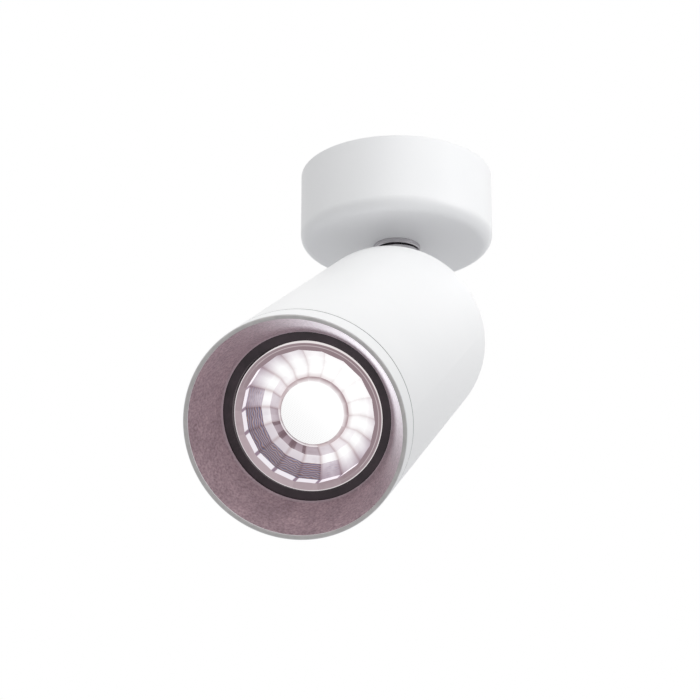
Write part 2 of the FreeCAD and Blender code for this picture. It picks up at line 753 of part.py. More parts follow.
def driver_board():
    """Circuit board with its transformer, capacitors, coil and two terminals."""
    half = driver_width / 2 - driver_wall - 0.3
    low = carrier_face + board_stand
    top = low + board_thickness
    start = driver_end + driver_wall + 0.5
    end = driver_end + driver_length - driver_wall - 0.5
    board = box(-half, half, low, top, start, end)
    room = carrier_face + driver_height - driver_lid_thickness - 1.6 - top
    transformer = start + 0.45 * (end - start)
    coil = start + 0.79 * (end - start)
    parts = [
        box(-9, 9, top, top + room, transformer - 8, transformer + 8),
        box(-half + 2, -half + 10, top, top + 7, coil - 7, coil + 7),
        box(-6, 6, top, top + 5, start + 1, start + 6),
        box(-6, 6, top, top + 5, end - 6, end - 1)]
    for x, z, radius in ((10.0, start + 13, 4.0), (9.0, end - 14, 4.5), (-10.0, start + 12, 3.2)):
        parts.append(Part.makeCylinder(radius, room - 1.5, V(x, top, z), V(0, 1, 0)))
    return board.fuse(parts).removeSplitter()


def driver_screws():
    screws = []
    seat = carrier_face - carrier_thickness
    for z in driver_screw_heights():
        screw = pan_screw(0, 0, 0, carrier_thickness + 2.6, holder_screw_radius, 2.4, 1.6)
        screw.rotate(V(), V(1, 0, 0), -90)
        screw.translate(V(0, seat, z))
        screws.append(screw)
    return screws


def input_leads():
    """Leads from the channel in the tongue to the rear end of the driver."""
    leads = []
    rear = driver_end + driver_length
    for side in (-1, 1):
        x = side * fin_pitch / 2
        leads.append(lead([
            (x, lead_exit, rear - driver_wall - 2.0), (x, lead_exit, rear + lead_bend),
            (side * (lead_radius + 0.02), channel_offset, cap_inside - lead_bend),
            (side * (lead_radius + 0.02), channel_offset, cap_face + cap_boss)], lead_radius, lead_bend))
    return leads


# ---- Heat sink and light source -----------------------------------------------------------------
def heat_sink():
    rim = tube_bore - slide_fit
    base = rod(rim, sink_face, sink_back)
    base = base.makeChamfer(0.5, ring_edges(base, rim, sink_face))
    base = base.fuse(rod(fin_radius + 0.5, sink_face + 1, sink_back + fin_pad))
    count = int(fin_radius / fin_pitch)
    for i in range(-count, count + 1):
        x = i * fin_pitch
        half = math.sqrt(fin_radius ** 2 - (abs(x) + fin_thickness / 2) ** 2)
        base = base.fuse(box(x - fin_thickness / 2, x + fin_thickness / 2, -half, half, sink_back,
                             sink_back + fin_length))
    base = base.removeSplitter()
    for x, y in around(port_count, port_circle):
        base = base.cut(rod(screw_radius + 0.1, sink_face - 1, sink_back + 1, x, y))
    for x, y in holder_screw_places():
        base = base.cut(rod(holder_screw_radius, sink_face - 1, sink_face + 4, x, y))
    for x in (-fin_pitch / 2, fin_pitch / 2):
        base = base.cut(rod(lead_hole_radius, sink_face - 1, sink_back + fin_pad + 1, x, lead_circle))
    return base


def heat_sink_screws():
    screws = []
    for x, y in around(port_count, port_circle):
        head = pan_screw(x, y, sink_face, sink_thickness, screw_radius, screw_head_radius, screw_head)
        thread = rod(port_bore, sink_back, sink_face + sink_screw_length, x, y)
        screws.append(head.fuse(thread).removeSplitter())
    return screws


def holder_screw_places():
    return around(2, holder_screw_circle, 0.0)


def cob_board():
    """Aluminium board of the light source, with two solder pads."""
    half = cob_side / 2
    board = box(-half, half, -half, half, sink_face - cob_thickness, sink_face)
    corners = [e for e in board.Edges if abs(e.BoundBox.ZLength - cob_thickness) < 0.01]
    return board.makeFillet(0.8, corners)


def led_disc():
    low = sink_face - cob_thickness - led_thickness
    return rod(led_radius, low, sink_face - cob_thickness)


def cob_holder():
    """White moulding that clamps the light source to the heat sink."""
    face = sink_face - holder_thickness
    body = turned([
        (holder_opening, sink_face), (holder_radius, sink_face), (holder_radius, face + 0.6),
        (holder_radius - 0.6, face), (holder_opening + 1.0, face), (holder_opening, face + 0.8)])
    side = cob_side / 2 + holder_pocket_clearance
    body = body.cut(box(-side, side, -side, side, sink_face - cob_thickness, sink_face + 1))
    channel = fin_pitch / 2 + lead_radius + 0.2
    body = body.cut(box(-channel, channel, 0, holder_radius + 1, face - 1, sink_face - cob_thickness))
    for x, y in holder_screw_places():
        body = body.cut(rod(holder_screw_radius + 0.15, face - 1, sink_face + 1, x, y))
        body = body.cut(rod(2.5, face - 1, face + 1.2, x, y))
    return body


def led_leads():
    """Leads from the driver, between two fins and through the heat sink, to the light source."""
    leads = []
    touch = sink_face - cob_thickness - lead_radius
    for side in (-1, 1):
        x = side * fin_pitch / 2
        leads.append(lead([
            (x, lead_exit, driver_end + driver_wall + 2.0), (x, lead_exit, driver_end - lead_bend),
            (x, lead_circle, sink_back + lead_bend), (x, lead_circle, touch),
            (x, cob_side / 2 - 1.0, touch)], lead_radius, lead_bend))
    return leads


def cob_screws():
    screws = []
    for x, y in holder_screw_places():
        seat = sink_face - holder_thickness + 1.2
        screws.append(pan_screw(x, y, seat, holder_screw_length, holder_screw_radius, 2.2, 1.1))
    return screws


# ---- Lens, baffle and front ring ----------------------------------------------------------------
def facet_rings():
    """The (radius, z) of each ring of corners between two bands of facets, all on one parabola."""
    first = lens_radius - facet_inset
    last = cavity_radius + cavity_wall
    start = front + lens_front + lens_flange + facet_wall
    depth = lens_height - lens_flange - facet_wall
    rings = []
    for share in facet_shares:
        radius = first + share * (last - first)
        rings.append((radius, start + depth * (first ** 2 - radius ** 2) / (first ** 2 - last ** 2)))
    return rings


def lens_optic():
    """Clear collimator with straight facets, then three bands on a parabola, a front well and a rear cavity."""
    face = front + lens_front
    flange_back = face + lens_flange
    lens = turned([
        (0, face), (lens_radius - lens_edge, face), (lens_radius, face + lens_edge),
        (lens_radius, flange_back), (0, flange_back)])
    rings = [polygon(lens_facets, radius, z, -90.0) for radius, z in facet_rings()]
    rings.insert(0, polygon(lens_facets, lens_radius - facet_inset, flange_back, -90.0))
    for upper, lower in zip(rings, rings[1:]):
        lens = lens.fuse(Part.makeLoft([upper, lower], True, True))
    well = turned([
        (0, face - 1), (well_radius + well_draft, face - 1), (well_radius + well_draft, face),
        (well_radius, face + well_depth), (0, face + well_depth)])
    back = face + lens_height
    cavity = rod(cavity_radius, back - cavity_depth, back + 1)
    ball = (cavity_radius ** 2 + cavity_dome ** 2) / (2 * cavity_dome)
    dome = Part.makeSphere(ball, V(0, 0, back - cavity_depth + cavity_dome - ball))
    return lens.removeSplitter().cut(well).cut(cavity.cut(dome))


def lens_holder():
    """Black cup that seats the lens and stands on the heat sink."""
    rim = front + baffle_depth
    ledge = front + lens_front + lens_flange
    seat = lens_radius + lens_clearance
    inner = seat - lens_ledge
    outer = baffle_throat + holder_lip
    foot = port_circle - screw_head_radius - cup_foot_gap
    wall = foot - cup_foot
    return turned([
        (seat, rim), (outer, rim), (outer, rim + holder_rim_height),
        (inner + cup_wall, rim + holder_rim_height + 2.0), (wall, sink_face - 2.0),
        (foot, sink_face - 1.6), (foot, sink_face), (wall - cup_wall, sink_face),
        (inner, ledge), (seat, ledge)])


def baffle():
    """Tapered glare baffle, held between the front ring's lip and the lens holder."""
    mouth = front + ring_lip
    throat = front + baffle_depth
    upper, lower = baffle_outside()
    return turned([
        (baffle_mouth, mouth), (ring_bore - 0.05, mouth), (ring_bore - 0.05, mouth + baffle_flange),
        (upper[0], front + upper[1]), (lower[0], front + lower[1]), (lower[0], throat),
        (baffle_throat + 0.3, throat), (baffle_throat, throat - baffle_lip)])


def baffle_outside():
    """The (radius, depth) ends of the baffle's outer taper."""
    upper = (baffle_mouth + baffle_wall - baffle_flange, ring_lip + baffle_flange + 0.4)
    lower = (baffle_throat + baffle_wall, baffle_depth - baffle_lip)
    return upper, lower


def front_ring():
    """Turned ring that closes the tube. Its spigot slides into the tube and carries the seal."""
    shoulder = front + ring_length
    spigot = tube_bore - slide_fit
    spigot_end = shoulder + seam_gap + ring_spigot
    groove = front + seal_place
    inner = spigot - ring_spigot_wall
    upper, lower = baffle_outside()
    share = (upper[0] - inner + ring_baffle_clearance) / (upper[0] - lower[0])
    step = front + upper[1] + share * (lower[1] - upper[1])
    return turned([
        (ring_lip_radius, front + 0.25), (ring_lip_radius + 0.25, front), (head_radius - front_edge, front),
        (head_radius, front + front_edge), (head_radius, shoulder), (head_radius - seam_depth, shoulder),
        (head_radius - seam_depth, shoulder + seam_gap), (spigot, shoulder + seam_gap), (spigot, groove),
        (spigot - seal_depth, groove), (spigot - seal_depth, groove + seal_width),
        (spigot, groove + seal_width),
        (spigot, spigot_end - 0.5), (spigot - 0.5, spigot_end), (inner, spigot_end),
        (inner, step), (ring_bore, front + upper[1]), (ring_bore, front + ring_lip),
        (ring_lip_radius, front + ring_lip)])


def seal_ring():
    """Rubber ring in the groove of the spigot."""
    low = front + seal_place
    outer = tube_bore - 0.02
    inner = tube_bore - slide_fit - seal_depth
    return turned([
        (inner, low + 0.4), (inner + 0.4, low), (outer - 0.4, low), (outer, low + 0.4),
        (outer, low + seal_width - 0.4), (outer - 0.4, low + seal_width), (inner + 0.4, low + seal_width),
        (inner, low + seal_width - 0.4)])


# ---- Assembly -----------------------------------------------------------------------------------
fixed_pieces = (
    canopy_cup, mounting_plate, canopy_grub_screws, terminal_block, terminal_sleeves, terminal_screws,
    block_screw, earth_screw, supply_leads, swivel_nipple, stop_pin, lock_washer, nipple_locknut,
    retaining_nut)
swivel_pieces = (
    swivel_sleeve, pan_washer, wave_washer, swivel_fork, tilt_barrel, tilt_screw, tilt_washers)
head_pieces = (
    rear_cap, rear_cap_screws, head_tube, driver_carrier, carrier_screws, driver_case,
    driver_lid, driver_board, driver_screws, input_leads, heat_sink, heat_sink_screws, cob_board,
    led_disc, led_leads, cob_holder, cob_screws, lens_holder, lens_optic, baffle, front_ring, seal_ring)


def built(piece):
    shape = piece()
    return Part.makeCompound(shape) if isinstance(shape, list) else shape


def write(piece, shape):
    shape.exportStep("parts/" + piece.__name__ + ".step")


os.makedirs("parts", exist_ok=True)
pan = FreeCAD.Placement(V(), FreeCAD.Rotation(V(0, 0, 1), rest_pan))
tilt = FreeCAD.Placement(V(0, 0, pivot_z), FreeCAD.Rotation(V(1, 0, 0), -rest_tilt))
for piece in fixed_pieces:
    write(piece, built(piece))
for piece in swivel_pieces:
    write(piece, built(piece).transformed(pan.toMatrix()))
for piece in head_pieces:
    write(piece, built(piece).transformed((pan * tilt).toMatrix()))
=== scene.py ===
import json
import math

import bmesh
import bpy
from mathutils import Matrix, Vector


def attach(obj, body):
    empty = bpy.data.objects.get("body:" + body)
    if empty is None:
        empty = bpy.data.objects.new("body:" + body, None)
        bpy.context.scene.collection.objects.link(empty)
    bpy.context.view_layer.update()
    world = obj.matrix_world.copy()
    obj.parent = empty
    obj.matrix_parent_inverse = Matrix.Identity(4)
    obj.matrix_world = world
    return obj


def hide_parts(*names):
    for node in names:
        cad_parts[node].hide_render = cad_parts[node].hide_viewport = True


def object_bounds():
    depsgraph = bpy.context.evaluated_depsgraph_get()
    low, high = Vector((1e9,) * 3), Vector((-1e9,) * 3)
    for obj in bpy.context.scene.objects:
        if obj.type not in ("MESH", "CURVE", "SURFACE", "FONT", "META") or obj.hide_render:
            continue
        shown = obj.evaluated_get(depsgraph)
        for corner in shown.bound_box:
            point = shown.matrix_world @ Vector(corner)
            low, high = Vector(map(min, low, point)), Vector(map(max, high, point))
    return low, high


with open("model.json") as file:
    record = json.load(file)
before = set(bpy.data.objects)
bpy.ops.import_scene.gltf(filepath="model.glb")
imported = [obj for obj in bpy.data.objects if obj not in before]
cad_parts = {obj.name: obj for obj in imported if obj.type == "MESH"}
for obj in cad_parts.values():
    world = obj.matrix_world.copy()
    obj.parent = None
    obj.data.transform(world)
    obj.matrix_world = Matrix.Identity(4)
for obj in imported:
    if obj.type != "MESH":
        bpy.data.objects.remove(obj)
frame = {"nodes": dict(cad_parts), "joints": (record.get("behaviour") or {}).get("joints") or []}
cad_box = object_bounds()


# ---- Ceiling plate and its fixings --------------------------------------------------------------
# A stamped plate goes to the ceiling with two screws through its slots. Plate, grub screws, nuts
# and washers are steel, zinc plated bright with the faint cloudiness and rub marks of that plating.
mm = 0.001                                # the frame is in metres
nodes = frame["nodes"]


def node_tools(tree):
    """Two calls for this tree of nodes: one gives a socket its value, the other adds a node."""
    def put(socket, value):
        """Link the socket to another node's output, or set it to a colour, place or number."""
        if isinstance(value, bpy.types.NodeSocket):
            tree.links.new(value, socket)
        elif socket.type == "RGBA":
            socket.default_value = (*value, 1)
        else:
            socket.default_value = value

    def add(kind, settings=None, **inputs):
        """New node. Its inputs are called by name, with _ for a space, or by _ and a number."""
        node = tree.nodes.new("ShaderNode" + kind)
        for key, value in (settings or {}).items():
            setattr(node, key, value)
        for key, value in inputs.items():
            put(node.inputs[int(key[1:]) if key[0] == "_" else key.replace("_", " ")], value)
        return node

    return put, add


def new_finish(name):
    """Material with one shader, a call that adds a node and one that gives the shader its inputs."""
    material = bpy.data.materials.new(name)
    material.use_nodes = True
    shader = material.node_tree.nodes["Principled BSDF"]
    put, add = node_tools(material.node_tree)

    def give(**inputs):
        """Inputs of the shader, called in the same way."""
        for key, value in inputs.items():
            put(shader.inputs[key.replace("_", " ")], value)

    return material, add, give


def own_point(add):
    """Place of a point in its object's own frame, which for a CAD node is the fitting's frame."""
    return add("TexCoord").outputs["Object"]


def speckle(add, point, size, detail=2.0, stretch=(1, 1, 1)):
    """Cloudy pattern from 0 to 1 whose patches are about size across."""
    stretched = add("Mapping", Vector=point, Scale=stretch).outputs["Vector"]
    return add("TexNoise", Vector=stretched, Scale=1 / size, Detail=detail).outputs["Fac"]


def levels(add, amount, low, high, start=0.3, end=0.7):
    """Number that goes from low to high as amount goes from start to end."""
    return add("MapRange", Value=amount, From_Min=start, From_Max=end, To_Min=low,
               To_Max=high).outputs["Result"]


def blend(add, share, first, second, kind="MIX"):
    """Colour that goes from first to second as share goes from 0 to 1, in the way that kind says."""
    settings = {"data_type": "RGBA", "blend_type": kind}
    return add("Mix", settings, Factor=share, _6=first, _7=second).outputs[2]


def shades(add, amount, dark, light, low=0.3, high=0.7):
    """Colour that goes from dark to light as amount goes from low to high."""
    return blend(add, levels(add, amount, 0.0, 1.0, low, high), dark, light)


def relief(add, height, depth, under=None):
    """Bump of this depth from height, laid over another bump if there is one."""
    lower = {} if under is None else {"Normal": under}
    return add("Bump", Height=height, Distance=depth, Strength=1.0, **lower).outputs["Normal"]


def dress(material, *names):
    """These CAD nodes take this finish."""
    for name in names:
        slots = nodes[name].data.materials
        for place in range(len(slots)):
            slots[place] = material


def bright_metal(name, tint=(0.62, 0.63, 0.65), point_of=own_point):
    """Bright plated metal, cloudy, and rubbed along one direction."""
    material, add, give = new_finish(name)
    point = point_of(add)
    cloud = speckle(add, point, 6 * mm, 4.0)
    rubs = speckle(add, point, 0.5 * mm, 3.0, (1.0, 0.12, 1.0))
    dull = tuple(0.82 * part for part in tint)
    give(Base_Color=shades(add, cloud, dull, tint), Metallic=1.0,
         Roughness=levels(add, rubs, 0.26, 0.44), Normal=relief(add, rubs, 0.008 * mm))
    return material


zinc = bright_metal("bright_zinc")
dress(zinc, "mounting_plate", "canopy_grub_screws", "block_screw", "lock_washer", "nipple_locknut",
      "retaining_nut", "stop_pin", "wave_washer")


# ---- Terminal block and supply leads ------------------------------------------------------------
# The block is moulded in cream polyamide round three brass sleeves with zinc plated clamp screws.
# Its three insulated leads, brown, green and blue, run down into the nipple. The earth screw of the
# plate is brass.
lead_gap = 1.2 * mm                       # half the width of the middle lead's lane


def number(add, operation, *values):
    """Result of a sum on numbers or on the outputs of other nodes."""
    inputs = {f"_{place}": value for place, value in enumerate(values)}
    return add("Math", {"operation": operation}, **inputs).outputs["Value"]


def moulding(name, dark, light, roughness, point_of=own_point):
    """Moulded plastic, rubber or lacquer with a fine matt grain."""
    material, add, give = new_finish(name)
    point = point_of(add)
    cloud = speckle(add, point, 8 * mm, 3.0)
    grain = speckle(add, point, 0.25 * mm)
    give(Base_Color=shades(add, cloud, dark, light),
         Roughness=levels(add, grain, roughness - 0.05, roughness + 0.06),
         Normal=relief(add, grain, 0.012 * mm))
    return material


def lead_insulation(name):
    """Insulation whose colour goes by the side of the block that the lead starts from."""
    material, add, give = new_finish(name)
    point = own_point(add)
    across = add("SeparateXYZ", Vector=point).outputs["Y"]
    grain = speckle(add, point, 0.6 * mm)
    brown = shades(add, grain, (0.10, 0.045, 0.022), (0.14, 0.06, 0.03))
    green = shades(add, grain, (0.05, 0.22, 0.04), (0.09, 0.30, 0.05))
    blue = shades(add, grain, (0.02, 0.09, 0.30), (0.03, 0.13, 0.38))
    colour = blend(add, number(add, "LESS_THAN", across, -lead_gap), green, brown)
    colour = blend(add, number(add, "GREATER_THAN", across, lead_gap), colour, blue)
    give(Base_Color=colour, Roughness=levels(add, grain, 0.28, 0.38),
         Normal=relief(add, grain, 0.01 * mm))
    return material


dress(moulding("cream_moulding", (0.66, 0.62, 0.53), (0.72, 0.68, 0.59), 0.45), "terminal_block")
dress(bright_metal("brass_sleeve", (0.72, 0.52, 0.22)), "terminal_sleeves", "earth_screw")
dress(zinc, "terminal_screws")
dress(lead_insulation("lead_insulation"), "supply_leads")


# ---- Canopy -------------------------------------------------------------------------------------
# The cup against the ceiling is drawn from steel sheet and powder coated satin white, outside and
# in. Two grub screws through its wall hold it on the tabs of the ceiling plate.
coat_white = ((0.845, 0.850, 0.856), (0.862, 0.866, 0.870))


def white_coat(name, point_of=own_point):
    """Satin white powder coat, with the faint orange peel that it dries to."""
    material, add, give = new_finish(name)
    point = point_of(add)
    cloud = speckle(add, point, 30 * mm)
    peel = speckle(add, point, 1.3 * mm, 1.0)
    grit = speckle(add, point, 0.35 * mm, 1.0)
    fine = relief(add, grit, 0.006 * mm)
    give(Base_Color=shades(add, cloud, *coat_white), Roughness=levels(add, cloud, 0.36, 0.42),
         Specular_IOR_Level=0.38, Normal=relief(add, peel, 0.014 * mm, under=fine))
    return material


dress(white_coat("canopy_coat"), "canopy_cup")


# ---- Neck: nipple, sleeve, fork and tilt pivot --------------------------------------------------
# Turned brass, plated satin nickel. The lathe leaves fine rings round each piece, and the plating
# is a little cloudy. The washer in the pan joint is mauve grey plastic, those on the pivot are dark.
def satin_nickel(name):
    """Plated metal with the fine rings that the lathe leaves."""
    material, add, give = new_finish(name)
    point = own_point(add)
    rings = speckle(add, point, 0.22 * mm, 3.0, (0.02, 0.02, 1.0))
    cloud = speckle(add, point, 4 * mm, 3.0)
    give(Base_Color=shades(add, cloud, (0.56, 0.545, 0.565), (0.62, 0.60, 0.62)), Metallic=1.0,
         Roughness=levels(add, rings, 0.20, 0.34), Normal=relief(add, rings, 0.006 * mm))
    return material


dress(satin_nickel("satin_nickel"), "swivel_nipple", "swivel_sleeve", "swivel_fork", "tilt_barrel",
      "tilt_screw")
dress(moulding("grey_washer", (0.230, 0.175, 0.215), (0.300, 0.235, 0.280), 0.5), "pan_washer")
dress(moulding("dark_washer", (0.050, 0.036, 0.044), (0.075, 0.056, 0.067), 0.5), "tilt_washers")


# ---- Lamp head: tube and rear cap ---------------------------------------------------------------
# An extruded aluminium tube and a die cast cap with three screws, in the canopy's powder coat. They
# hang on the tilt pivot, aimed down and to one side. The head's own frame has +Z up the tube and +X
# along the pivot, so that a finish on the aimed head is laid out as on an upright one.
tilt = next(joint for joint in frame["joints"] if joint["name"] == "tilt")
pivot = Vector(tilt["pos_m"])
pivot_line = -Vector(tilt["axis"]).normalized()
lift = math.radians(-tilt["range_deg"][0])     # at its lower limit the head points straight down
head_up = Matrix.Rotation(-lift, 3, pivot_line) @ Vector((0, 0, 1))
head_turn = Matrix((pivot_line, head_up.cross(pivot_line), head_up)).transposed()
head_frame = Matrix.Translation(pivot) @ head_turn.to_4x4()


def on_head(add):
    """Place of a point of a CAD node in the lamp head's own frame."""
    return add("Mapping", {"vector_type": "TEXTURE"}, Vector=own_point(add), Location=pivot,
               Rotation=head_turn.to_euler()).outputs["Vector"]


dress(white_coat("head_coat", on_head), "head_tube", "rear_cap")
dress(bright_metal("head_screws", point_of=on_head), "rear_cap_screws", "heat_sink_screws",
      "carrier_screws", "driver_screws", "cob_screws", "driver_carrier")


# ---- Driver and its leads -----------------------------------------------------------------------
# A small LED driver in a white case stands behind the heat sink. Its board carries the transformer
# and capacitors, and pairs of white leads go to the pivot and to the light source.
dress(moulding("driver_shell", (0.74, 0.74, 0.72), (0.79, 0.79, 0.77), 0.5, on_head),
      "driver_case", "driver_lid")
dress(moulding("solder_mask", (0.03, 0.17, 0.07), (0.05, 0.23, 0.10), 0.35, on_head), "driver_board")
dress(moulding("head_leads", (0.70, 0.70, 0.69), (0.76, 0.76, 0.75), 0.32, on_head),
      "input_leads", "led_leads")


# ---- Heat sink, light source and its holder -----------------------------------------------------
# The finned heat sink is bare die cast aluminium. The light source is a round chip on a small
# aluminium board, clamped by a white moulding, and it is lit.
def cast_aluminium(name):
    """Bare casting with a fine rough skin."""
    material, add, give = new_finish(name)
    point = on_head(add)
    skin = speckle(add, point, 0.9 * mm, 4.0)
    cloud = speckle(add, point, 10 * mm)
    give(Base_Color=shades(add, cloud, (0.55, 0.56, 0.57), (0.68, 0.69, 0.70)), Metallic=1.0,
         Roughness=levels(add, skin, 0.38, 0.56), Normal=relief(add, skin, 0.03 * mm))
    return material


def lit_chip(name):
    """Phosphor of the lit chip, in grains that are a little warmer or whiter."""
    material, add, give = new_finish(name)
    grain = speckle(add, on_head(add), 0.8 * mm)
    give(Base_Color=(0.9, 0.85, 0.6), Emission_Strength=3.0,
         Emission_Color=shades(add, grain, (0.97, 0.94, 0.97), (1.0, 0.99, 1.0)))
    return material


dress(cast_aluminium("cast_aluminium"), "heat_sink", "cob_board")
dress(moulding("holder_moulding", (0.78, 0.78, 0.77), (0.83, 0.83, 0.82), 0.45, on_head), "cob_holder")
dress(lit_chip("lit_chip"), "led_disc")


# ---- Lens holder --------------------------------------------------------------------------------
# Black polycarbonate cup that stands on the heat sink and seats the lens. Its rim shows as a fine
# matt black ring round the lens. The trace of mauve in its black is painted light from the baffle.
dress(moulding("black_holder", (0.020, 0.011, 0.015), (0.050, 0.031, 0.040), 0.46, on_head),
      "lens_holder")


# ---- Lens ---------------------------------------------------------------------------------------
# One clear acrylic moulding: a flange with a raised edge, a straight eighteen-sided wall and three
# bands of flat facets that lead to a round window over the light source. The light that fills the
# facets from behind and thins out towards one dim side is painted into the faces as glow, with
# painted highlights and shade. It drops into the black holder.
facet_count = 18
facet_step = 2 * math.pi / facet_count
facet_start = math.radians(10.0)          # first corner of the facets
painted_shade_side = math.radians(140.0)          # direction in which the facets get the least light
lens_edge = 25.3 * mm
facet_outer = 22.8 * mm                   # radius through the corners, at the wall
facet_first = 18.2 * mm                   # where the outer band meets the middle band
facet_second = 15.6 * mm                  # where the middle band meets the inner band
window_rim = 12.1 * mm
window_radius = 10.8 * mm
flange_face = 18.45 * mm                  # its depth, from the lamp's front
bead_radius = 0.23 * mm                   # of the raised edge
bead_sink = 0.02 * mm                     # how far its middle lies behind the flange's face
lens_rest = Vector((0.20, 0.27, 0.0)) * mm     # the lens lies against the low side of its seat


def along_head(node):
    """Places of a CAD node's corners along the head's own axis."""
    to_head = head_frame.inverted()
    return [(to_head @ corner.co).z for corner in nodes[node].data.vertices]


lamp_front = min(along_head("front_ring"))


def tone(red, green, blue):
    """Colour as it looks on a screen, from 0 to 255, as the linear values of a shader."""
    parts = (red / 255, green / 255, blue / 255)
    return tuple(c / 12.92 if c < 0.04045 else ((c + 0.055) / 1.055) ** 2.4 for c in parts)


def ramp(add, amount, stops):
    """Colour from a list of (place, screen colour) stops."""
    node = add("ValToRGB", Fac=amount)
    elements = node.color_ramp.elements
    while len(elements) < len(stops):
        elements.new(0.5)
    for element, (place, colour) in zip(elements, stops):
        element.position = place
        element.color = (*tone(*colour), 1)
    return node.outputs["Color"]


def centred(add, amount, width):
    """A number from 0 to 1, moved and scaled to lie between minus and plus half the width."""
    return number(add, "MULTIPLY_ADD", amount, width, -width / 2)


def off_axis(add, split):
    """Distance of a point from the head's axis."""
    squares = [number(add, "POWER", split[side], 2.0) for side in ("X", "Y")]
    return number(add, "SQRT", number(add, "ADD", *squares))


def towards(add, split, turn, scale=1.0):
    """How far a point lies from the head's axis in one direction, times the scale."""
    east = number(add, "MULTIPLY", split["X"], scale * math.cos(turn))
    return number(add, "MULTIPLY_ADD", split["Y"], scale * math.sin(turn), east)


def lens_spot(add):
    """Where a point is on the lens: the number of its facet, across it from -0.5 to 0.5, away from the
    dim side of its painted light from 0 to 1, radius from the axis, and corner, the radius through the
    facets' corners."""
    split = add("SeparateXYZ", Vector=own_point(add)).outputs
    turn = number(add, "ARCTAN2", split["Y"], split["X"])
    share = number(add, "DIVIDE", number(add, "SUBTRACT", turn, facet_start), facet_step)
    facet = number(add, "FLOOR", share)
    across = number(add, "SUBTRACT", number(add, "SUBTRACT", share, facet), 0.5)
    first_middle = facet_start + facet_step / 2 - painted_shade_side
    middle = number(add, "MULTIPLY_ADD", facet, facet_step, first_middle)
    away = number(add, "DIVIDE", number(add, "ARCCOSINE", number(add, "COSINE", middle)), math.pi)
    radius = off_axis(add, split)
    lean = number(add, "COSINE", number(add, "MULTIPLY", across, facet_step))
    corner = number(add, "DIVIDE", number(add, "MULTIPLY", radius, lean), math.cos(facet_step / 2))
    return {"facet": facet, "across": across, "away": away, "radius": radius, "corner": corner}


def seam_shade(add, spot, away, strength, width, far):
    """How much painted shade lies along the seam between two facets. far is what is left of it on the
    bright side.
    """
    half = number(add, "SUBTRACT", 0.5, number(add, "ABSOLUTE", spot["across"]))
    off_seam = number(add, "MULTIPLY", half, number(add, "MULTIPLY", spot["radius"], facet_step))
    line = levels(add, off_seam, strength, 0.0, 0.0, width)
    return number(add, "MULTIPLY", line, levels(add, away, 1.0, far, 0.45, 0.88))


def side_shade(add, spot, away, strength):
    """How much painted shade a facet between the dim and the bright side takes towards its sides and
    outer end.
    """
    sides = levels(add, number(add, "ABSOLUTE", spot["across"]), 0.0, strength, 0.10, 0.50)
    outward = levels(add, spot["corner"], 0.25, 1.0, window_rim, facet_outer)
    fade = number(add, "MULTIPLY", sides, outward)
    fade = number(add, "MULTIPLY", fade, levels(add, away, 0.0, 1.0, 0.20, 0.40))
    return number(add, "MULTIPLY", fade, levels(add, away, 1.0, 0.0, 0.60, 0.90))


def painted_light_stripes(add, spot, strength):
    """Painted fine wavy stripes of light. Each colour lags a little, as light through the fine steps of
    a mould does.
    """
    stripe_pitch = 0.60 * mm
    most_wobble = 13.0                    # radians
    wobble = speckle(add, own_point(add), 2.4 * mm, 1.0)
    steps = number(add, "MULTIPLY", spot["corner"], 2 * math.pi / stripe_pitch)
    phase = number(add, "MULTIPLY_ADD", wobble, most_wobble, steps)
    waves = []
    for lag in (0.0, 0.5, 1.1):
        swing = number(add, "SINE", number(add, "ADD", phase, lag))
        waves.append(levels(add, swing, 1.0 - strength, 1.0 + strength, -1.0, 1.0))
    return add("CombineColor", Red=waves[0], Green=waves[1], Blue=waves[2]).outputs["Color"]


def painted_shade_patches(add, spot, away, chance, strength):
    """Painted dark patches of shade at the sides of some facets on the dim side."""
    edge = levels(add, number(add, "ABSOLUTE", spot["across"]), 0.0, 1.0, 0.22, 0.30)
    near = levels(add, away, strength, 0.0, 0.12, 0.20)
    picked = levels(add, chance, 0.0, 1.0, 0.35, 0.45)
    return number(add, "MULTIPLY", number(add, "MULTIPLY", edge, near), picked)


def lit_facets(name, outer, inner, outer_tones, inner_tones, seam=0.6, seam_tone=(205, 186, 184),
               seam_width=0.90 * mm, far_seam=0.2, soft=0.0, stripes=0.0, shade_patches=0.0):
    """Facets of one band between two radii, glowing with painted light and shade. Their tones go from
    the dim side to the bright one.
    """
    material, add, give = new_finish(name)
    spot = lens_spot(add)
    chance = add("TexWhiteNoise", {"noise_dimensions": "1D"}, W=spot["facet"]).outputs["Value"]
    haze = speckle(add, own_point(add), 2.2 * mm)
    away = number(add, "ADD", spot["away"], centred(add, haze, 0.12))
    away = number(add, "ADD", away, centred(add, chance, 0.06))
    inward = levels(add, spot["corner"], 0.0, 1.0, outer, inner)
    inward = number(add, "ADD", inward, centred(add, chance, 0.25))
    glow = blend(add, inward, ramp(add, away, outer_tones), ramp(add, away, inner_tones))
    # Painted shade along the seams and towards the facets' sides, painted light stripes, and painted
    # dark patches of shade on the dim side.
    if seam:
        line = seam_shade(add, spot, away, seam, seam_width, far_seam)
        glow = blend(add, line, glow, tone(*seam_tone), "MULTIPLY")
    if soft:
        glow = blend(add, side_shade(add, spot, away, soft), glow, tone(196, 180, 188), "MULTIPLY")
    if stripes:
        near = levels(add, away, 1.0, 0.0, 0.24, 0.36)
        glow = blend(add, near, glow, painted_light_stripes(add, spot, stripes), "MULTIPLY")
    if shade_patches:
        glow = blend(add, painted_shade_patches(add, spot, away, chance, shade_patches), glow, tone(104, 82, 88))
    give(Emission_Color=glow, Emission_Strength=1.0, Base_Color=(0.02, 0.018, 0.02), Roughness=0.12)
    return material


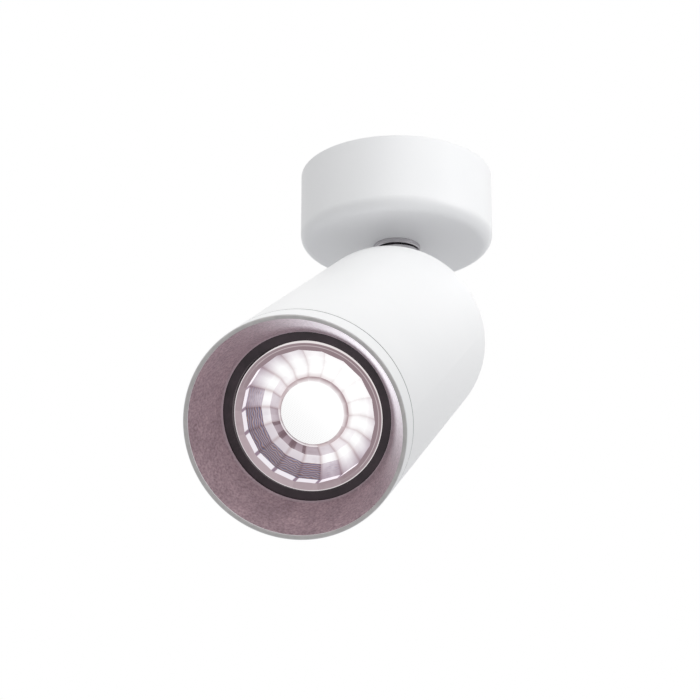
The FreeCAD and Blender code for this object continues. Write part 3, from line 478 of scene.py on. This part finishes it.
def rolled_flange(name):
    """Flange that glows with painted light, smoky mauve and a little brighter at the dim side, with a
    painted highlight along the raised edge and a second one inside it round the bright half."""
    material, add, give = new_finish(name)
    spot = lens_spot(add)
    streak = speckle(add, own_point(add), 1.6 * mm, 3.0)
    away = number(add, "ADD", spot["away"], centred(add, streak, 0.24))
    glow = ramp(add, away, ((0.1, (182, 164, 170)), (0.45, (152, 133, 139)), (1.0, (146, 127, 132))))
    # Painted highlights: a second bright line inside the edge round the bright half, and one along the
    # raised edge.
    second_highlight_radius = lens_edge - 1.25 * mm
    off_line = number(add, "ABSOLUTE", number(add, "SUBTRACT", spot["radius"], second_highlight_radius))
    second = number(add, "MULTIPLY", levels(add, off_line, 0.6, 0.0, 0.04 * mm, 0.20 * mm),
                    levels(add, away, 0.0, 1.0, 0.40, 0.60))
    glow = blend(add, second, glow, tone(232, 220, 222))
    raised = levels(add, spot["radius"], 0.0, 1.0, lens_edge - 0.36 * mm, lens_edge - 0.18 * mm)
    bead_highlight = ramp(add, away, ((0.0, (238, 232, 235)), (0.5, (244, 237, 238)), (1.0, (246, 238, 238))))
    give(Emission_Color=blend(add, raised, glow, bead_highlight), Emission_Strength=0.9,
         Base_Color=(0.03, 0.025, 0.028), Roughness=0.15)
    return material


def lit_window(name):
    """Window over the light source, painted bright, with fine round lenslets that show as painted shade
    on its dim side.
    """
    material, add, give = new_finish(name)
    lenslet_pitch = 0.52 * mm
    split = add("SeparateXYZ", Vector=own_point(add)).outputs
    waves = []
    for turn in (0.0, math.pi / 3, 2 * math.pi / 3):
        waves.append(number(add, "COSINE", towards(add, split, turn, 2 * math.pi / lenslet_pitch)))
    dots = number(add, "ADD", waves[0], number(add, "ADD", waves[1], waves[2]))
    near = levels(add, towards(add, split, painted_shade_side), 0.0, 0.26, -0.3 * window_radius, window_radius)
    dim = number(add, "MULTIPLY", near, levels(add, dots, 0.0, 1.0, -1.5, 2.0))
    bright = number(add, "SUBTRACT", 1.0, dim)
    give(Emission_Color=add("CombineColor", Red=bright, Green=bright, Blue=bright).outputs["Color"],
         Emission_Strength=0.98, Base_Color=(0.02, 0.02, 0.02), Roughness=0.2)
    return material


def clear_acrylic(name):
    """Polished acrylic with the faintest flow marks, at the back of the lens."""
    material, add, give = new_finish(name)
    flow = speckle(add, own_point(add), 5 * mm)
    give(Base_Color=(0.97, 0.95, 0.97), Transmission_Weight=1.0, IOR=1.49,
         Roughness=levels(add, flow, 0.0, 0.02))
    return material


def lens_outline():
    """Rings of the lens from the middle of its back, over its edge and down to its window, as radius,
    depth from the lamp's front, whether it has corners, and the finish of the face that follows."""
    well = ((0.0, 29.3), (9.6, 29.3), (9.6, 39.3))
    rear_facets = ((12.3, 39.3), (16.1, 35.5), (18.7, 32.3), (23.3, 25.4), (23.3, 21.3))
    outline = [(radius * mm, depth * mm, False, "back") for radius, depth in well]
    outline += [(radius * mm, depth * mm, True, "back") for radius, depth in rear_facets]
    outline.append((lens_edge - 0.2 * mm, 21.3 * mm, False, "flange"))
    outline.append((lens_edge, 21.1 * mm, False, "flange"))
    for step in range(5):                 # the raised edge is half round and ends on the flange's face
        turn = math.radians(45 * step - 5)
        outline.append((lens_edge - bead_radius + bead_radius * math.cos(turn),
                        flange_face + bead_sink - bead_radius * math.sin(turn), False, "flange"))
    return outline + [
        (facet_outer, flange_face, True, "wall"),
        (facet_outer, 23.1 * mm, True, "outer"),
        (facet_first, 27.0 * mm, True, "middle"),
        (facet_second, 28.2 * mm, True, "inner"),
        (window_rim, 26.3 * mm, False, "ring"),
        (window_rim - 0.25 * mm, 26.05 * mm, False, "ring"),
        (window_radius + 0.2 * mm, 25.0 * mm, False, "ring"),
        (window_radius, 24.8 * mm, False, "window"),
        (0.0, 24.8 * mm, False, "")]


def lens_body(name, finishes):
    """Closed skin of the lens, in the lamp head's own frame."""
    per_facet = 6                         # steps round each facet
    count = facet_count * per_facet
    outline = lens_outline()
    shape = bmesh.new()
    rings = []
    for radius, depth, has_corners, _ in outline:
        height = lamp_front + depth
        if radius == 0:
            rings.append([shape.verts.new((0, 0, height))])
            continue
        ring = []
        for place in range(count):
            turn = facet_start + 2 * math.pi * place / count
            reach = radius
            if has_corners:
                lean = facet_step * ((place % per_facet) / per_facet - 0.5)
                reach *= math.cos(facet_step / 2) / math.cos(lean)
            ring.append(shape.verts.new((reach * math.cos(turn), reach * math.sin(turn), height)))
        rings.append(ring)
    slots = list(finishes)
    for (_, _, _, finish), near, far in zip(outline, rings, rings[1:]):
        for place in range(count):
            following = (place + 1) % count
            if len(near) == 1:
                corners = (near[0], far[place], far[following])
            elif len(far) == 1:
                corners = (near[place], far[0], near[following])
            else:
                corners = (near[place], far[place], far[following], near[following])
            face = shape.faces.new(corners)
            face.material_index = slots.index(finish)
            face.smooth = finish in ("flange", "ring")
    bmesh.ops.recalc_face_normals(shape, faces=shape.faces)
    mesh = bpy.data.meshes.new(name)
    shape.to_mesh(mesh)
    shape.free()
    for slot in slots:
        mesh.materials.append(finishes[slot])
    return bpy.data.objects.new(name, mesh)


white = (255, 255, 255)
lens = lens_body("clear_lens", {
    "back": clear_acrylic("clear_acrylic"),
    "flange": rolled_flange("lens_flange"),
    "wall": lit_facets(
        "lens_wall", lens_edge, facet_outer,
        ((0.0, (226, 221, 228)), (0.5, (232, 226, 230)), (0.7, (250, 247, 248))),
        ((0.0, (236, 232, 238)), (0.5, (228, 222, 228)), (0.7, (250, 247, 248))),
        seam=2.2, seam_tone=(150, 132, 144), seam_width=0.80 * mm, far_seam=0.0),
    "outer": lit_facets(
        "lens_outer_band", facet_outer, facet_first,
        ((0.0, (112, 97, 109)), (0.26, (128, 113, 126)), (0.38, (184, 170, 182)),
         (0.6, (214, 205, 212)), (0.8, (240, 235, 238)), (1.0, white)),
        ((0.0, (128, 112, 122)), (0.24, (148, 132, 145)), (0.34, (206, 196, 206)),
         (0.44, (246, 243, 246)), (0.55, white)),
        soft=0.75, stripes=0.42),
    "middle": lit_facets(
        "lens_middle_band", facet_first, facet_second,
        ((0.0, (203, 194, 202)), (0.15, (210, 201, 208)), (0.3, (246, 244, 246)), (0.4, white)),
        ((0.0, (212, 204, 210)), (0.15, (220, 212, 218)), (0.3, (252, 250, 252)), (0.4, white)),
        soft=0.75),
    "inner": lit_facets(
        "lens_inner_band", window_rim + 1.6 * mm, window_rim,
        ((0.0, (160, 143, 151)), (0.15, (166, 150, 158)), (0.3, (206, 196, 203)),
         (0.45, (236, 230, 234)), (0.6, white)),
        ((0.0, (146, 127, 136)), (0.15, (152, 134, 142)), (0.3, (196, 185, 192)),
         (0.45, (236, 228, 231)), (0.7, (212, 196, 198)), (1.0, (236, 228, 229))),
        seam_width=0.70 * mm, soft=0.6, shade_patches=0.8),
    "ring": lit_facets(
        "lens_ring", window_rim, window_radius,
        ((0.0, (250, 248, 250)), (0.4, (196, 178, 181)), (0.7, (158, 134, 137)),
         (1.0, (164, 142, 147))),
        ((0.0, (108, 88, 95)), (0.4, (166, 146, 149)), (0.7, (244, 238, 240)),
         (1.0, (250, 246, 248))),
        seam=0.0),
    "window": lit_window("lens_window"),
})
lens.matrix_world = head_frame @ Matrix.Translation(lens_rest)
bpy.context.scene.collection.objects.link(lens)
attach(lens, "lamp_head")
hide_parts("lens_optic")


# ---- Baffle -------------------------------------------------------------------------------------
# The tapered glare baffle is spun aluminium with a sandy mauve grey coat. A soft gleam of the lit
# lens along one side of it is painted into the coat's colour and glow, and a painted highlight makes
# the coat paler at the edge by the black ring.
bright_side = math.radians(-35.0)         # about opposite the dim side of the lens
baffle_end = max(along_head("baffle"))


def sandy_coat(name):
    """Gritty matt coat, with a painted gleam of the lens on its bright side and a painted highlight at
    its inner edge.
    """
    material, add, give = new_finish(name)
    point = on_head(add)
    sand = speckle(add, point, 0.85 * mm, 3.0)
    grit = speckle(add, point, 0.45 * mm)
    cloud = speckle(add, point, 8 * mm, 4.0)
    split = add("SeparateXYZ", Vector=point).outputs
    grains = shades(add, sand, (0.280, 0.182, 0.208), (0.53, 0.380, 0.415), 0.30, 0.72)
    patches = shades(add, cloud, (0.80, 0.78, 0.80), (1.08, 1.07, 1.08))
    coat = blend(add, 1.0, grains, patches, "MULTIPLY")
    # Painted highlight: the coat is paler along its inner edge by the black ring.
    inner_edge_highlight = levels(add, split["Z"], 0.0, 0.8, baffle_end - 2.0 * mm, baffle_end - 0.7 * mm)
    coat = blend(add, inner_edge_highlight, coat, (0.62, 0.50, 0.545))
    # Painted gleam of the lens: on the bright side and nearest the front the coat is paler and glows.
    facing = number(add, "DIVIDE", towards(add, split, bright_side), off_axis(add, split))
    facing = number(add, "POWER", number(add, "MAXIMUM", facing, 0.0), 3.1)
    shallow = levels(add, split["Z"], 1.0, 0.0, lamp_front + 9.0 * mm, lamp_front + 14.0 * mm)
    gleam = number(add, "MULTIPLY", facing, shallow)
    gleam = number(add, "MULTIPLY", gleam, levels(add, sand, 0.80, 1.12))
    give(Base_Color=blend(add, gleam, coat, (0.80, 0.77, 0.83)),
         Roughness=levels(add, sand, 0.34, 0.50),
         Emission_Color=(1.0, 0.96, 1.0), Emission_Strength=number(add, "MULTIPLY", gleam, 0.84),
         Sheen_Weight=0.8, Sheen_Roughness=0.30, Sheen_Tint=(0.95, 0.92, 1.0),
         Normal=relief(add, sand, 0.20 * mm, under=relief(add, grit, 0.10 * mm)))
    return material


dress(sandy_coat("sandy_coat"), "baffle")


# ---- Front ring and its seal --------------------------------------------------------------------
# A turned aluminium ring closes the front and holds the baffle, with the canopy's powder coat. Its
# narrow front face is warm grey, and it stands off the tube by a fine joint with a rubber ring, whose
# shadow is painted as a dark band on the ring.
tube_front = min(along_head("head_tube"))


def ring_coat(name):
    """The white coat, warm grey on the ring's front face, with a painted shadow where the ring meets the
    tube.
    """
    material, add, give = new_finish(name)
    point = on_head(add)
    height = add("SeparateXYZ", Vector=point).outputs["Z"]
    cloud = speckle(add, point, 30 * mm)
    peel = speckle(add, point, 1.3 * mm, 1.0)
    wear = speckle(add, point, 2.5 * mm, 3.0)
    grey = shades(add, wear, (0.435, 0.422, 0.414), (0.505, 0.490, 0.480))
    face = levels(add, height, 0.0, 1.0, lamp_front + 0.45 * mm, lamp_front + 0.20 * mm)
    # Painted shadow: a dark band on the ring where it meets the tube.
    joint = levels(add, height, 0.0, 1.0, tube_front - 0.90 * mm, tube_front - 0.65 * mm)
    colour = blend(add, face, shades(add, cloud, *coat_white), grey)
    give(Base_Color=blend(add, joint, colour, (0.10, 0.10, 0.105)),
         Roughness=levels(add, cloud, 0.36, 0.42), Normal=relief(add, peel, 0.014 * mm))
    return material


dress(ring_coat("ring_coat"), "front_ring")
dress(moulding("seal_rubber", (0.016, 0.016, 0.017), (0.024, 0.024, 0.025), 0.7, on_head), "seal_ring")


# ---- Room, lamps and camera ---------------------------------------------------------------------
# The fitting hangs over a plain pale floor in a white room. A broad soft lamp stands above and in
# front, a small one lights the canopy's right side, and the camera looks up from below the head.
room_light = 0.56                         # on the object, where 1 is white
floor_height = -0.44
floor_reach = 6.0
camera_place = Vector((0.0, -0.79603, -0.38464))
camera_yaw = math.radians(-1.36)
camera_pitch = math.radians(21.20)
camera_roll = math.radians(0.12)
focal_length = 109.92                     # millimetres, on a sensor 36 mm wide


def seen_share(add):
    """1 for what the camera sees, also in metal or through glass, and 0 for what lights the object."""
    rays = add("LightPath").outputs
    straight_or_mirrored = number(add, "MAXIMUM", rays["Is Camera Ray"], rays["Is Glossy Ray"])
    return number(add, "MAXIMUM", straight_or_mirrored, rays["Is Transmission Ray"])


def white_room():
    """Room that looks white and gives the object a dimmer plain light."""
    world = bpy.data.worlds.new("white_room")
    world.use_nodes = True
    put, add = node_tools(world.node_tree)
    backing = world.node_tree.nodes["Background"]
    put(backing.inputs["Color"], (1, 1, 1))
    put(backing.inputs["Strength"], levels(add, seen_share(add), room_light, 1.0, 0.0, 1.0))
    return world


def pale_paint(name):
    """Pale matt floor, a little lighter to the camera than it lights, that keeps the object's shadow."""
    material, add, give = new_finish(name)
    cloud = speckle(add, own_point(add), 400 * mm)
    glow = levels(add, add("LightPath").outputs["Is Camera Ray"], 0.0, 0.12, 0.0, 1.0)
    give(Base_Color=shades(add, cloud, (0.80, 0.805, 0.825), (0.83, 0.835, 0.855)), Roughness=0.9,
         Emission_Color=(1, 1, 1), Emission_Strength=glow)
    return material


def soft_lamp(name, place, aim, size, power, beam=180.0):
    """Round lamp turned towards aim, with its width in metres, power in watts and beam in degrees."""
    light = bpy.data.lights.new(name, "AREA")
    light.shape = "DISK"
    light.size = size
    light.energy = power
    light.spread = math.radians(beam)
    lamp = bpy.data.objects.new(name, light)
    lamp.location = place
    lamp.rotation_euler = (Vector(place) - Vector(aim)).to_track_quat("Z", "Y").to_euler()
    bpy.context.scene.collection.objects.link(lamp)


bpy.context.scene.world = white_room()

floor_mesh = bpy.data.meshes.new("floor")
sides = ((-1, -1), (1, -1), (1, 1), (-1, 1))
corners = [(floor_reach * x, floor_reach * y, floor_height) for x, y in sides]
floor_mesh.from_pydata(corners, [], [(0, 1, 2, 3)])
floor_mesh.materials.append(pale_paint("pale_floor"))
floor = bpy.data.objects.new("floor", floor_mesh)
bpy.context.scene.collection.objects.link(floor)

object_middle = (Vector(cad_box[0]) + Vector(cad_box[1])) / 2
soft_lamp("top_lamp", (0.30, -0.90, 1.42), object_middle, size=1.6, power=17.0)
soft_lamp("side_lamp", (0.55, -0.23, 0.06), (0.10, 0.10, 0.06), size=0.30, power=0.22, beam=70.0)

ahead = Vector((math.sin(camera_yaw) * math.cos(camera_pitch),
                math.cos(camera_yaw) * math.cos(camera_pitch), math.sin(camera_pitch)))
level_side = ahead.cross(Vector((0, 0, 1))).normalized()
level_up = level_side.cross(ahead)
camera_side = level_side * math.cos(camera_roll) + level_up * math.sin(camera_roll)
camera_up = level_up * math.cos(camera_roll) - level_side * math.sin(camera_roll)
camera_data = bpy.data.cameras.new("camera")
camera_data.sensor_width = 36.0
camera_data.lens = focal_length
camera_data.clip_start = 0.01
camera = bpy.data.objects.new("camera", camera_data)
camera_turn = Matrix((camera_side, camera_up, -ahead)).transposed()
camera.matrix_world = Matrix.Translation(camera_place) @ camera_turn.to_4x4()
bpy.context.scene.collection.objects.link(camera)
bpy.context.scene.camera = camera

bpy.context.scene.view_settings.view_transform = "Standard"
